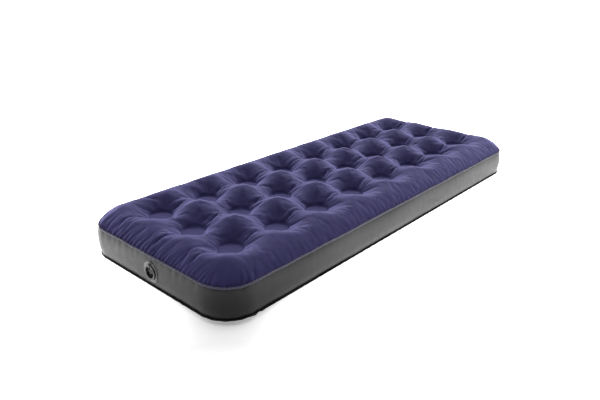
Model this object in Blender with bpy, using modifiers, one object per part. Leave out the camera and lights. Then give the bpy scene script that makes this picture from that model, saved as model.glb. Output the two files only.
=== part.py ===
"""Single flocked airbed: a coil-beam air chamber with a screw valve in its foot end.

The frame has +Z up, the length along Y with the valve at -Y, and the width along X.
The origin is on the ground under the middle of the bed. Run with
blender --background --python part.py, or from Blender's text editor.
"""
import math

import bmesh
import bpy

# Overall size of the inflated bed, in metres.
LENGTH = 1.85
WIDTH = 0.76
HEIGHT = 0.18
CORNER_RADIUS = 0.12

# Sheets. SHEET is the drawn thickness, GAP the space kept between touching pieces.
SHEET = 0.0012
GAP = 0.0003

# Side band: it bulges outwards between its two welded seams.
TOP_SEAM_Z = 0.1225
BOTTOM_SEAM_Z = 0.0203
SEAM_INSET = 0.0080
BAND_FULLNESS = 2.5
BAND_ROWS = 14
CORNER_STEPS = 6
VALVE_PANEL_HALF = 0.060

# Coil beams: 3 across and 8 along, each welded to the top and to the bottom sheet.
COLUMNS = 3
ROWS = 8
COLUMN_PITCH = 0.187
ROW_PITCH = 0.209
COIL_RADIUS = 0.034
COIL_SIDES = 14
VENT_RADIUS = 0.008
VENT_SIDES = 6

# Top sheet: a crowned panel with one deep dimple over each coil.
TOP_RIM_Z = TOP_SEAM_Z + SHEET + GAP
TOP_ROLL = 0.127
TOP_DISC_Z = 0.132
DISC_FLAT = 0.026
DISC_RADIUS = 0.037
TOP_DIMPLE_RADIUS = 0.085
CREST_FLAT = 0.024
TOP_EDGE_STEPS = (0.0, 0.006, 0.020, 0.045, 0.075)

# Bottom sheet: flat on the ground, with shallow dimples and a weld lip all round.
LIP_WIDTH = 0.004
LIP_Z = BOTTOM_SEAM_Z - 2 * SHEET - GAP
BOTTOM_ROLL = 0.050
BOTTOM_DISC_Z = 0.010
BOTTOM_DIMPLE_RADIUS = 0.062
BOTTOM_EDGE_STEPS = (0.0, LIP_WIDTH, 0.020, 0.054)

# Valve, on an axis that leaves the foot end along -Y. Heights are measured outwards
# from the plane of the end, so what lies inside the bed has a negative height.
VALVE_X = 0.024
VALVE_Z = 0.072
ROUND_STEPS = 40
VALVE_HOLE_RADIUS = 0.0248
FLANGE_RADIUS = 0.037
FLANGE_FLAT_RADIUS = 0.0278
NECK_RADIUS = 0.0242
NECK_DEPTH = 0.016
FLANGE_GAP = 0.0005
BEZEL_RADIUS = 0.0270
BEZEL_BACK = 0.0020
BEZEL_FRONT = 0.0055
BARREL_RADIUS = 0.0226
BORE_RADIUS = 0.0196
LEDGE_RADIUS = 0.0160
LEDGE_DEPTH = 0.0136
ORIFICE_RADIUS = 0.0130
SHELF_DEPTH = 0.0195
BARREL_DEPTH = 0.0220
SPOKE_WIDTH = 0.0024
SPOKE_DEPTHS = (0.0020, 0.0018)
VALVE_CHAMFER = 0.0009

CAP_RADIUS = 0.0192
CAP_FACE = -0.0020
CAP_POCKET_RADIUS = 0.0155
CAP_POCKET = -0.0060
CAP_WEB = -0.0078
CAP_SKIRT_RADIUS = 0.0166
CAP_END = -0.0115
CAP_CHAMFER = 0.0006
GRIP_WIDTH = 0.0070
GRIP_INSET = 0.0002
STUD_RADIUS = 0.0032
STUD_HEAD_RADIUS = 0.0046
STUD_HEAD = 0.0016
SEAL_THICKNESS = 0.0015
SEAL_INNER_RADIUS = 0.0150

EYE_INNER_RADIUS = 0.0036
EYE_OUTER_RADIUS = 0.0064
EYE_THICKNESS = 0.0016
STRAP_WIDTH = 0.0070
STRAP_THICKNESS = 0.0010
STRAP_BEND = (0.0135, 0.0165)
STRAP_BEND_RISE = 0.0012
STRAP_ROUNDING = 0.0016
STRAP_END = (0.0330, 0.0362)

FLAP_RADIUS = 0.0155
FLAP_THICKNESS = 0.0015
FLAP_NECK_WIDTH = 0.0080
FLAP_HINGE = 0.0170
FLAP_ARC_STEPS = 28
CLIP_SIZE = (0.012, 0.0032, 0.0030)
CLIP_CLEARANCE = 0.0009
CLIP_ROUNDING = 0.0005

CUT_LENGTH = 0.100
MERGE = 0.00001


# ---------------------------------------------------------------- scene helpers

def clear_scene():
    """Remove every object that the file opened with."""
    for old in list(bpy.data.objects):
        bpy.data.objects.remove(old, do_unlink=True)


def new_collection(name):
    """Link a new collection to the scene."""
    collection = bpy.data.collections.new(name)
    bpy.context.scene.collection.children.link(collection)
    return collection


def principled(name, colour, roughness):
    """Make a plain Principled material."""
    material = bpy.data.materials.new(name)
    material.use_nodes = True
    shader = material.node_tree.nodes["Principled BSDF"]
    shader.inputs["Base Color"].default_value = (*colour, 1.0)
    shader.inputs["Roughness"].default_value = roughness
    return material


def add_object(name, mesh, collection, material=None):
    """Put a mesh in a collection as a named object."""
    item = bpy.data.objects.new(name, mesh)
    collection.objects.link(item)
    if material is not None:
        mesh.materials.append(material)
    return item


def mesh_from(bm, name, smooth=True):
    """Turn a bmesh into a mesh and free it."""
    bm.normal_update()
    mesh = bpy.data.meshes.new(name)
    bm.to_mesh(mesh)
    bm.free()
    if smooth:
        mesh.shade_smooth()
    return mesh


def solidify(item, thickness, offset):
    """Give an open surface its thickness. Offset 1 grows it along its normals."""
    modifier = item.modifiers.new("Sheet", "SOLIDIFY")
    modifier.thickness = thickness
    modifier.offset = offset


def boolean(item, tool, operation):
    """Cut or join an object with a tool object."""
    modifier = item.modifiers.new(operation.title(), "BOOLEAN")
    modifier.operation = operation
    modifier.solver = "EXACT"
    modifier.object = tool


def add_tool(name, mesh, collection):
    """Add a cutter or a joined block, shown as wire and left out of renders."""
    tool = add_object(name, mesh, collection)
    tool.hide_render = True
    tool.display_type = "WIRE"
    return tool


def grid_surface(columns, rows, place, name, flip=False):
    """Make a grid of quads and move each corner to place(column, row)."""
    bm = bmesh.new()
    bmesh.ops.create_grid(bm, x_segments=columns, y_segments=rows, size=1.0)
    for vert in bm.verts:
        column = round((vert.co.x + 1.0) / 2.0 * columns)
        row = round((vert.co.y + 1.0) / 2.0 * rows)
        vert.co = place(column, row)
    bmesh.ops.remove_doubles(bm, verts=bm.verts, dist=MERGE)
    if flip:
        bmesh.ops.reverse_faces(bm, faces=bm.faces)
    return mesh_from(bm, name)


def block_mesh(name, size, centre):
    """Make a box of the given size about a centre."""
    bm = bmesh.new()
    bmesh.ops.create_cube(bm, size=1.0)
    for vert in bm.verts:
        vert.co = [c + v * s for c, v, s in zip(centre, vert.co, size)]
    return mesh_from(bm, name, smooth=False)


def cylinder_mesh(name, radius, depth, sides):
    """Make a closed cylinder about the local Z axis."""
    bm = bmesh.new()
    bmesh.ops.create_cone(bm, cap_ends=True, segments=sides, radius1=radius, radius2=radius, depth=depth)
    return mesh_from(bm, name)


def turned_mesh_object(name, profile, closed, collection, material):
    """Turn a profile of (radius, height) points about the local Z axis."""
    bm = bmesh.new()
    verts = [bm.verts.new((radius, 0.0, height)) for radius, height in profile]
    for first, second in zip(verts, verts[1:]):
        bm.edges.new((first, second))
    if closed:
        bm.edges.new((verts[-1], verts[0]))
    item = add_object(name, mesh_from(bm, name, smooth=False), collection, material)
    screw = item.modifiers.new("Turn", "SCREW")
    screw.steps = ROUND_STEPS
    screw.render_steps = ROUND_STEPS
    screw.use_merge_vertices = True
    screw.merge_threshold = MERGE
    return item


# ---------------------------------------------------------------- shape of the bed

def coil_centres():
    """Yield row, column and plan position of each coil, row 1 nearest the valve."""
    for row in range(ROWS):
        for column in range(COLUMNS):
            x = (column - (COLUMNS - 1) / 2) * COLUMN_PITCH
            y = (row - (ROWS - 1) / 2) * ROW_PITCH
            yield row + 1, column + 1, x, y


def bell(distance, inner, outer):
    """Fall smoothly from 1 within the inner radius to 0 at the outer one."""
    share = min(max((distance - inner) / (outer - inner), 0.0), 1.0)
    return 0.5 * (1.0 + math.cos(math.pi * share))


def dimple(x, y, outer):
    """Depth of the nearest dimple at a plan position, from 0 to 1."""
    return max(bell(math.hypot(x - cx, y - cy), DISC_RADIUS, outer) for _, _, cx, cy in coil_centres())


def quarter_round(share):
    """Height of a quarter ellipse at a share of its width, both from 0 to 1."""
    share = min(max(share, 0.0), 1.0)
    return math.sqrt(1.0 - (1.0 - share) ** 2)


def edge_distance(x, y, half_x, half_y, radius):
    """Distance inwards from a rounded rectangle's outline."""
    dx = abs(x) - (half_x - radius)
    dy = abs(y) - (half_y - radius)
    return radius - math.hypot(max(dx, 0.0), max(dy, 0.0)) - min(max(dx, dy), 0.0)


def round_corner(x, y, half_x, half_y, radius):
    """Map a point of a rectangle into the rounded rectangle of the same size."""
    over_x = max(abs(x) - (half_x - radius), 0.0)
    over_y = max(abs(y) - (half_y - radius), 0.0)
    shift_x = over_x - over_x * math.sqrt(1.0 - over_y ** 2 / (2.0 * radius ** 2))
    shift_y = over_y - over_y * math.sqrt(1.0 - over_x ** 2 / (2.0 * radius ** 2))
    return x - math.copysign(shift_x, x), y - math.copysign(shift_y, y)


def panel_lines(count, pitch, half, edge_steps):
    """Grid lines of a panel: two across each disc, two along each crest, more at its edges."""
    lines = set()
    for index in range(count):
        centre = (index - (count - 1) / 2) * pitch
        for offset in (DISC_FLAT, pitch / 2 - CREST_FLAT):
            lines.update((centre - offset, centre + offset))
    for step in edge_steps:
        lines.update((step - half, half - step))
    return sorted(lines)


def panel_mesh(name, inset, edge_steps, height, flip):
    """Make a sheet over the rounded plan, lifted by height(x, y, distance from its edge)."""
    half_x = WIDTH / 2 - inset
    half_y = LENGTH / 2 - inset
    radius = CORNER_RADIUS - inset
    lines_x = panel_lines(COLUMNS, COLUMN_PITCH, half_x, edge_steps)
    lines_y = panel_lines(ROWS, ROW_PITCH, half_y, edge_steps)

    def place(column, row):
        x, y = round_corner(lines_x[column], lines_y[row], half_x, half_y, radius)
        return x, y, height(x, y, edge_distance(x, y, half_x, half_y, radius))

    return grid_surface(len(lines_x) - 1, len(lines_y) - 1, place, name, flip)


def top_height(x, y, edge):
    """Outer surface of the top sheet."""
    crown = (HEIGHT - TOP_RIM_Z) * quarter_round(edge / TOP_ROLL)
    return TOP_RIM_Z + crown - (HEIGHT - TOP_DISC_Z) * dimple(x, y, TOP_DIMPLE_RADIUS)


def bottom_height(x, y, edge):
    """Outer surface of the bottom sheet."""
    rise = LIP_Z * (1.0 - quarter_round((edge - LIP_WIDTH) / BOTTOM_ROLL))
    return rise + BOTTOM_DISC_Z * dimple(x, y, BOTTOM_DIMPLE_RADIUS)


def band_inset(z):
    """How far the side band's outer face lies inside the bed's widest outline."""
    middle = (TOP_SEAM_Z + BOTTOM_SEAM_Z) / 2
    share = abs(z - middle) / (TOP_SEAM_Z - middle)
    return SEAM_INSET * share ** BAND_FULLNESS


def outline_point(index, inset):
    """Point of the rounded plan outline, counted round its four corner arcs."""
    corner, step = divmod(index % (4 * (CORNER_STEPS + 1)), CORNER_STEPS + 1)
    angle = math.radians(90.0 * corner + 90.0 * step / CORNER_STEPS)
    side_x = (1, -1, -1, 1)[corner]
    side_y = (1, 1, -1, -1)[corner]
    radius = CORNER_RADIUS - inset
    x = side_x * (WIDTH / 2 - CORNER_RADIUS) + radius * math.cos(angle)
    y = side_y * (LENGTH / 2 - CORNER_RADIUS) + radius * math.sin(angle)
    return x, y


# ---------------------------------------------------------------- chamber pieces

def make_top_panel(parts, material):
    """Flocked top sheet."""
    mesh = panel_mesh("top_panel", SEAM_INSET, TOP_EDGE_STEPS, top_height, flip=False)
    item = add_object("top_panel", mesh, parts, material)
    solidify(item, SHEET, -1.0)


def make_bottom_panel(parts, material):
    """Bottom sheet with its weld lip."""
    inset = SEAM_INSET - LIP_WIDTH
    mesh = panel_mesh("bottom_panel", inset, BOTTOM_EDGE_STEPS, bottom_height, flip=True)
    item = add_object("bottom_panel", mesh, parts, material)
    solidify(item, SHEET, -1.0)


def band_strip(name, plan, columns, parts, material):
    """Upright strip between the seams, with its weld lip, along plan(column, inset)."""
    rise = (TOP_SEAM_Z - BOTTOM_SEAM_Z) / BAND_ROWS

    def place(column, row):
        if row == 0:
            return *plan(column, SEAM_INSET - LIP_WIDTH), BOTTOM_SEAM_Z
        z = BOTTOM_SEAM_Z + (row - 1) * rise
        return *plan(column, band_inset(z)), z

    item = add_object(name, grid_surface(columns, BAND_ROWS + 1, place, name), parts, material)
    solidify(item, SHEET, -1.0)
    return item


def make_side_band(parts, material):
    """Side band, from one side of the valve's panel round the bed to its other side."""
    count = 4 * (CORNER_STEPS + 1)
    first = 3 * (CORNER_STEPS + 1)
    half = VALVE_PANEL_HALF + GAP

    def plan(column, inset):
        if column == 0:
            return VALVE_X + half, inset - LENGTH / 2
        if column == count + 1:
            return VALVE_X - half, inset - LENGTH / 2
        return outline_point(first + column - 1, inset)

    band_strip("side_band", plan, count + 1, parts, material)


def make_valve_panel(parts, tools, material):
    """Part of the band that holds the valve, with the valve's hole."""
    def plan(column, inset):
        return VALVE_X + (2 * column - 1) * VALVE_PANEL_HALF, inset - LENGTH / 2

    item = band_strip("valve_panel", plan, 1, parts, material)
    hole = cylinder_mesh("valve_hole", VALVE_HOLE_RADIUS, CUT_LENGTH, ROUND_STEPS)
    cutter = add_tool("valve_hole", hole, tools)
    seat_on_valve_axis(cutter)
    boolean(item, cutter, "DIFFERENCE")


def make_coils(parts, tools, material):
    """Coil beams: open tubes with a vent through their walls, one object for each."""
    low = BOTTOM_DISC_Z + SHEET + GAP
    high = TOP_DISC_Z - SHEET - GAP
    middle = (low + high) / 2
    half = (high - low) / 2
    bm = bmesh.new()
    bmesh.ops.create_cone(
        bm, cap_ends=False, segments=COIL_SIDES, radius1=COIL_RADIUS, radius2=COIL_RADIUS, depth=2 * half)
    tube = add_object("coil_pattern", mesh_from(bm, "coil_pattern"), tools)
    solidify(tube, SHEET, -1.0)
    vent = add_tool("coil_vent", cylinder_mesh("coil_vent", VENT_RADIUS, CUT_LENGTH, VENT_SIDES), tools)
    vent.rotation_euler = (math.radians(90.0), 0.0, 0.0)
    boolean(tube, vent, "DIFFERENCE")
    bpy.context.view_layer.update()
    graph = bpy.context.evaluated_depsgraph_get()
    mesh = bpy.data.meshes.new_from_object(tube.evaluated_get(graph))
    mesh.name = "coil_beam"
    mesh.materials.clear()
    mesh.materials.append(material)
    bpy.data.objects.remove(tube, do_unlink=True)
    for row, column, x, y in coil_centres():
        coil = bpy.data.objects.new(f"coil_r{row}_c{column}", mesh)
        coil.location = (x, y, middle)
        parts.objects.link(coil)


# ---------------------------------------------------------------- valve pieces

def seat_on_valve_axis(item):
    """Stand an object on the valve's axis, with its local Z pointing out of the bed."""
    item.location = (VALVE_X, -LENGTH / 2, VALVE_Z)
    item.rotation_euler = (math.radians(90.0), 0.0, 0.0)


def flange_back(up, radius):
    """Height of the flange's back face at a height up from the axis and a radius."""
    share = (radius - FLANGE_FLAT_RADIUS) / (FLANGE_RADIUS - FLANGE_FLAT_RADIUS)
    follow = quarter_round(share)
    return FLANGE_GAP - follow * band_inset(VALVE_Z + up)


def make_valve_flange(parts, material):
    """Soft moulded flange: a skirt that follows the band, and a neck that holds the barrel."""
    middle_radius = (FLANGE_FLAT_RADIUS + FLANGE_RADIUS) / 2
    radii = (NECK_RADIUS, NECK_RADIUS, FLANGE_FLAT_RADIUS, middle_radius, FLANGE_RADIUS)

    def place(column, row):
        angle = 2.0 * math.pi * column / ROUND_STEPS
        radius = radii[row]
        up = radius * math.sin(angle)
        height = -NECK_DEPTH if row == 0 else flange_back(up, radius)
        return radius * math.cos(angle), up, height

    mesh = grid_surface(ROUND_STEPS, len(radii) - 1, place, "valve_flange")
    item = add_object("valve_flange", mesh, parts, material)
    solidify(item, SHEET, -1.0)
    seat_on_valve_axis(item)


def make_valve_body(parts, material):
    """Barrel with a bezel, a thread bore and a seal ledge."""
    end = GAP - SHELF_DEPTH
    profile = (
        (BEZEL_RADIUS - VALVE_CHAMFER, BEZEL_FRONT),
        (BEZEL_RADIUS, BEZEL_FRONT - VALVE_CHAMFER),
        (BEZEL_RADIUS, BEZEL_BACK),
        (BARREL_RADIUS, BEZEL_BACK),
        (BARREL_RADIUS, end),
        (LEDGE_RADIUS, end),
        (LEDGE_RADIUS, -LEDGE_DEPTH),
        (BORE_RADIUS, -LEDGE_DEPTH),
        (BORE_RADIUS, BEZEL_FRONT - 2.0 * VALVE_CHAMFER),
        (BORE_RADIUS + VALVE_CHAMFER, BEZEL_FRONT),
    )
    seat_on_valve_axis(turned_mesh_object("valve_body", profile, True, parts, material))


def make_valve_grille(parts, tools, material):
    """Flat grille across the barrel's inner end: the seat that the flap closes on."""
    profile = ring_profile(ORIFICE_RADIUS, BARREL_RADIUS, -BARREL_DEPTH, -SHELF_DEPTH)
    item = turned_mesh_object("valve_grille", profile, True, parts, material)
    seat_on_valve_axis(item)
    reach = 2.0 * ORIFICE_RADIUS + SPOKE_WIDTH
    centre = (0.0, 0.0, -(BARREL_DEPTH + SHELF_DEPTH) / 2)
    across, upright = SPOKE_DEPTHS
    for name, size in (
        ("spoke_across", (reach, SPOKE_WIDTH, across)),
        ("spoke_upright", (SPOKE_WIDTH, reach, upright)),
    ):
        spoke = add_tool(name, block_mesh(name, size, centre), tools)
        seat_on_valve_axis(spoke)
        boolean(item, spoke, "UNION")


def make_screw_cap(parts, tools, material):
    """Recessed screw cap with a grip bar across its pocket and a stud for the strap's eye."""
    profile = (
        (0.0, STUD_HEAD),
        (STUD_HEAD_RADIUS - CAP_CHAMFER, STUD_HEAD),
        (STUD_HEAD_RADIUS, STUD_HEAD - CAP_CHAMFER),
        (STUD_HEAD_RADIUS, CAP_FACE + EYE_THICKNESS + 2 * GAP),
        (STUD_RADIUS, CAP_FACE + EYE_THICKNESS + 2 * GAP),
        (STUD_RADIUS, CAP_POCKET),
        (CAP_POCKET_RADIUS, CAP_POCKET),
        (CAP_POCKET_RADIUS, CAP_FACE),
        (CAP_RADIUS - CAP_CHAMFER, CAP_FACE),
        (CAP_RADIUS, CAP_FACE - CAP_CHAMFER),
        (CAP_RADIUS, CAP_END),
        (CAP_SKIRT_RADIUS, CAP_END),
        (CAP_SKIRT_RADIUS, CAP_WEB),
        (0.0, CAP_WEB),
    )
    item = turned_mesh_object("screw_cap", profile, False, parts, material)
    seat_on_valve_axis(item)
    top = CAP_FACE - GRIP_INSET
    low = (CAP_POCKET + CAP_WEB) / 2
    size = (2.0 * CAP_POCKET_RADIUS + 2.0 * GRIP_INSET, GRIP_WIDTH, top - low)
    bar = add_tool("grip_bar", block_mesh("grip_bar", size, (0.0, 0.0, (top + low) / 2)), tools)
    seat_on_valve_axis(bar)
    boolean(item, bar, "UNION")


def ring_profile(inner, outer, low, high):
    """Closed rectangular section of a flat ring."""
    return ((outer, high), (outer, low), (inner, low), (inner, high))


def make_cap_seal(parts, material):
    """Flat washer under the cap's skirt, which presses on the barrel's ledge."""
    high = CAP_END - GAP
    profile = ring_profile(SEAL_INNER_RADIUS, CAP_RADIUS - GAP, high - SEAL_THICKNESS, high)
    seat_on_valve_axis(turned_mesh_object("cap_seal", profile, True, parts, material))


def make_strap_eye(parts, material):
    """Eye of the retaining strap: it turns on the cap's stud and travels out with the cap."""
    low = CAP_FACE + GAP
    profile = ring_profile(EYE_INNER_RADIUS, EYE_OUTER_RADIUS, low, low + EYE_THICKNESS)
    seat_on_valve_axis(turned_mesh_object("strap_eye", profile, True, parts, material))


def make_cap_strap(parts, material):
    """Retaining strap: from the eye, out of the recess, over the bezel and down to the flange."""
    half = STRAP_THICKNESS / 2
    level = CAP_FACE + GAP + EYE_THICKNESS / 2
    bore = BORE_RADIUS - half - GAP
    over = BEZEL_FRONT + half + 2 * GAP
    lift = 2.0 * SHEET + half
    bend_start, bend_end = STRAP_BEND
    past = BEZEL_RADIUS + STRAP_ROUNDING / 2
    path = [
        (EYE_OUTER_RADIUS + GAP, level),
        (bend_start, level),
        (bend_end, level + STRAP_BEND_RISE),
        (bore - STRAP_ROUNDING / 2, BEZEL_BACK),
        (bore - GAP, over - STRAP_ROUNDING),
        (bore + STRAP_ROUNDING, over),
        (BEZEL_RADIUS - STRAP_ROUNDING, over),
        (past, over - STRAP_ROUNDING / 2),
        (past + STRAP_ROUNDING, BEZEL_BACK + STRAP_ROUNDING / 2),
    ]
    for radius in STRAP_END:
        path.append((radius, flange_back(radius, radius) + lift))

    def place(column, row):
        up, height = path[row]
        return (column - 0.5) * STRAP_WIDTH, up, height

    mesh = grid_surface(1, len(path) - 1, place, "cap_strap")
    item = add_object("cap_strap", mesh, parts, material)
    solidify(item, STRAP_THICKNESS, 0.0)
    seat_on_valve_axis(item)


def make_check_flap(parts, material):
    """One-way flap behind the barrel: a disc with a short neck up to its hinge line."""
    start = math.asin(FLAP_NECK_WIDTH / 2 / FLAP_RADIUS)
    points = [(FLAP_NECK_WIDTH / 2, FLAP_HINGE)]
    for index in range(FLAP_ARC_STEPS + 1):
        angle = start + (2.0 * math.pi - 2.0 * start) * index / FLAP_ARC_STEPS
        points.append((FLAP_RADIUS * math.sin(angle), FLAP_RADIUS * math.cos(angle)))
    points.append((-FLAP_NECK_WIDTH / 2, FLAP_HINGE))
    curve = bpy.data.curves.new("check_flap", "CURVE")
    curve.dimensions = "2D"
    curve.fill_mode = "BOTH"
    curve.extrude = FLAP_THICKNESS / 2
    spline = curve.splines.new("POLY")
    spline.points.add(len(points) - 1)
    for point, (x, y) in zip(spline.points, points):
        point.co = (x, y - FLAP_HINGE, 0.0, 1.0)
    spline.use_cyclic_u = True
    curve.materials.append(material)
    item = bpy.data.objects.new("check_flap", curve)
    parts.objects.link(item)
    middle = BARREL_DEPTH + GAP + FLAP_THICKNESS / 2
    item.location = (VALVE_X, -LENGTH / 2 + middle, VALVE_Z + FLAP_HINGE)
    item.rotation_euler = (math.radians(90.0), 0.0, 0.0)


def make_flap_clip(parts, material):
    """Clip that holds the flap's tab on the barrel's inner end."""
    width, tall, deep = CLIP_SIZE
    centre = (0.0, FLAP_HINGE + CLIP_CLEARANCE + tall / 2, -BARREL_DEPTH - GAP - deep / 2)
    item = add_object("flap_clip", block_mesh("flap_clip", (width, tall, deep), centre), parts, material)
    bevel = item.modifiers.new("Edges", "BEVEL")
    bevel.width = CLIP_ROUNDING
    bevel.segments = 2
    seat_on_valve_axis(item)


def main():
    clear_scene()
    parts = new_collection("airbed")
    tools = new_collection("airbed_cutters")
    flock = principled("flocked_pvc", (0.075, 0.070, 0.210), 0.92)
    band = principled("band_pvc", (0.045, 0.045, 0.047), 0.32)
    base = principled("base_pvc", (0.040, 0.040, 0.042), 0.45)
    coil = principled("coil_pvc", (0.42, 0.45, 0.48), 0.45)
    soft = principled("valve_soft_pvc", (0.20, 0.20, 0.21), 0.35)
    hard = principled("valve_plastic", (0.012, 0.012, 0.013), 0.35)
    rubber = principled("seal_rubber", (0.05, 0.05, 0.05), 0.60)
    make_top_panel(parts, flock)
    make_side_band(parts, band)
    make_valve_panel(parts, tools, band)
    make_bottom_panel(parts, base)
    make_coils(parts, tools, coil)
    make_valve_flange(parts, soft)
    make_valve_body(parts, hard)
    make_valve_grille(parts, tools, hard)
    make_screw_cap(parts, tools, hard)
    make_cap_seal(parts, rubber)
    make_strap_eye(parts, soft)
    make_cap_strap(parts, soft)
    make_check_flap(parts, rubber)
    make_flap_clip(parts, hard)


main()
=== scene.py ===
"""Looks of the flocked airbed: inflated sheets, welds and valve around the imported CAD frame."""
import math

import bmesh
import bpy
import numpy as np
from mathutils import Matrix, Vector


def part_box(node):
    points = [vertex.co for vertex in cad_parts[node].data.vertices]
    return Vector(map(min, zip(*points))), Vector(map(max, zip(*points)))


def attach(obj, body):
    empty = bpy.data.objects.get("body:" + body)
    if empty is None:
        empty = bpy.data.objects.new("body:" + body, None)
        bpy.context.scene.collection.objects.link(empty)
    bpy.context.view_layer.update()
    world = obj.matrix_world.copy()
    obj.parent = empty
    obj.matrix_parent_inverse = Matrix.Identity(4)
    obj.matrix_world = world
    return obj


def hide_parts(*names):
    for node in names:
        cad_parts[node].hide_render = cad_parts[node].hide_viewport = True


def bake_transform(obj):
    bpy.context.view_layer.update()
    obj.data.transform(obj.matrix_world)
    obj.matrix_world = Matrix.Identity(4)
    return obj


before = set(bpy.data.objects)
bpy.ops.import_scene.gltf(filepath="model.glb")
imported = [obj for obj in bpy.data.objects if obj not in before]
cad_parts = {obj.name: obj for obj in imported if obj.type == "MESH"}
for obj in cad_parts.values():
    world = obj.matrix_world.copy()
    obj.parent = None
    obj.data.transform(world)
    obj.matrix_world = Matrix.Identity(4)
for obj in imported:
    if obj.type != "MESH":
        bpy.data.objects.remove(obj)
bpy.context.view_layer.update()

MATTRESS = "mattress"

# ---------------------------------------------------------------- places read from the frame

band_low, band_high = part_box("side_band")
top_low, top_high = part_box("top_panel")
bottom_low, bottom_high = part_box("bottom_panel")
HALF_X = band_high.x
HALF_Y = band_high.y
HEIGHT = top_high.z
SEAM_Z = band_high.z
FOOT_SEAM_Z = band_low.z
SEAM_INSET = HALF_X - top_high.x
LIP_INSET = HALF_X - bottom_high.x
CORNER = 0.12
COILS = sorted(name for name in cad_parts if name.startswith("coil_"))
DISCS = np.array([[(a + b) / 2 for a, b in zip(*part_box(name))][:2] for name in COILS])
COIL_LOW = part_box(COILS[0])[0].z
COIL_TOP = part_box(COILS[0])[1].z
FILM = 0.0012
DISC_Z = COIL_TOP + FILM
DISC_RADIUS = 0.0365
body_low, body_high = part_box("valve_body")
VALVE = Vector(((body_low.x + body_high.x) / 2, -HALF_Y, (body_low.z + body_high.z) / 2))

# ---------------------------------------------------------------- shape of the inflated bed

GRID_STEP = 0.008
ROLL_WIDTH = 0.140
ROLL_CENTRE_Z = 0.097
PINCH_REACH = 0.011
CROWN = 0.0085
CROWN_START, CROWN_END = 0.03, 0.17
FUNNEL_REACH = 0.143
FUNNEL_POWER = 1.25
CREST_ROUNDING = 0.22
BAND_FULLNESS = 2.5
CREASE_DEPTH = 0.0080
CREASE_CLEAR, CREASE_FULL = 0.037, 0.075
PUCKER_DEPTH = 0.0060
PUCKER_REACH = 0.100
LUMP_HEIGHT = 0.0008
LUMP_LENGTH = 0.11
WRINKLE_HEIGHT = 0.00045
WRINKLE_WAVES = ((9, 0.5), (14, 0.6), (21, 0.5), (5, 0.4))
RING_HEIGHT = 0.0010
GROOVE_DEPTH = 0.0030

CLOTH_FRAMES = 16
CLOTH_PRESSURE = 2.5
CLOTH_SHRINK = -0.012
CLOTH_LARGEST_SHIFT = 0.007
CLOTH_EDGE_SHARE = 0.30

BAND_AROUND = 720
BAND_ROWS = 26
TOP_WELD_AROUND = 1600
BOTTOM_WELD_AROUND = 1200
BOTTOM_STEP = 0.0085
FOOT_RADIUS = 0.052
WELL_RADIUS = 0.034
WELL_SLOPE = 0.030
VALVE_HOLE = 0.0255


def smooth(x, low, high):
    """Smooth step from 0 at low to 1 at high."""
    t = np.clip((x - low) / (high - low), 0.0, 1.0)
    return t * t * (3.0 - 2.0 * t)


def wave_noise(x, y, scale, seed, octaves=3):
    """Smooth noise from about -1 to 1, as a sum of seeded plane waves."""
    draw = np.random.default_rng(seed)
    total = np.zeros_like(x)
    weight = 0.0
    for octave in range(octaves):
        strength = 0.6 ** octave
        for _ in range(6):
            angle = draw.uniform(0.0, 2.0 * np.pi)
            rate = draw.uniform(0.7, 1.3) * 2.0 * np.pi * 1.9 ** octave / scale
            phase = draw.uniform(0.0, 2.0 * np.pi)
            total += strength * np.sin(rate * (x * np.cos(angle) + y * np.sin(angle)) + phase)
        weight += strength * 6 ** 0.5
    return total / weight


def round_plan(x, y, half_x, half_y, radius):
    """Map points of a rectangle into the rounded rectangle of the same size."""
    over_x = np.maximum(np.abs(x) - (half_x - radius), 0.0)
    over_y = np.maximum(np.abs(y) - (half_y - radius), 0.0)
    new_x = x - np.sign(x) * over_x * (1.0 - np.sqrt(1.0 - over_y ** 2 / (2.0 * radius ** 2)))
    new_y = y - np.sign(y) * over_y * (1.0 - np.sqrt(1.0 - over_x ** 2 / (2.0 * radius ** 2)))
    return new_x, new_y


def edge_facts(x, y, half_x, half_y, radius):
    """Distance inwards from a rounded outline, and the outward direction there."""
    dx = np.abs(x) - (half_x - radius)
    dy = np.abs(y) - (half_y - radius)
    px = np.maximum(dx, 0.0)
    py = np.maximum(dy, 0.0)
    away = np.hypot(px, py)
    edge = radius - away - np.minimum(np.maximum(dx, dy), 0.0)
    corner = away > 1e-9
    side = dx > dy
    nx = np.where(corner, px / np.maximum(away, 1e-9), np.where(side, 1.0, 0.0)) * np.sign(x)
    ny = np.where(corner, py / np.maximum(away, 1e-9), np.where(side, 0.0, 1.0)) * np.sign(y)
    return edge, nx, ny


def disc_distance(x, y):
    """Distance to every disc, as an array with one row for each."""
    return np.hypot(x[None] - DISCS[:, 0].reshape(-1, *([1] * x.ndim)),
                    y[None] - DISCS[:, 1].reshape(-1, *([1] * x.ndim)))


def roll_profile(edge):
    """Inset and height of the edge roll at a distance in from the seam."""
    start = math.asin((SEAM_Z - ROLL_CENTRE_Z) / (HEIGHT - ROLL_CENTRE_Z))
    share = np.clip(edge / ROLL_WIDTH, 0.0, 1.0)
    angle = start + (math.pi / 2.0 - start) * share
    inset = np.where(edge < ROLL_WIDTH, ROLL_WIDTH * (1.0 - np.cos(angle)), edge)
    pinch = SEAM_INSET - ROLL_WIDTH * (1.0 - math.cos(start))
    inset = inset + pinch * np.exp(-(edge / PINCH_REACH) ** 2)
    height = ROLL_CENTRE_Z + (HEIGHT - ROLL_CENTRE_Z) * np.sin(angle)
    return inset, height + CROWN * smooth(edge, CROWN_START, CROWN_END)


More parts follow.
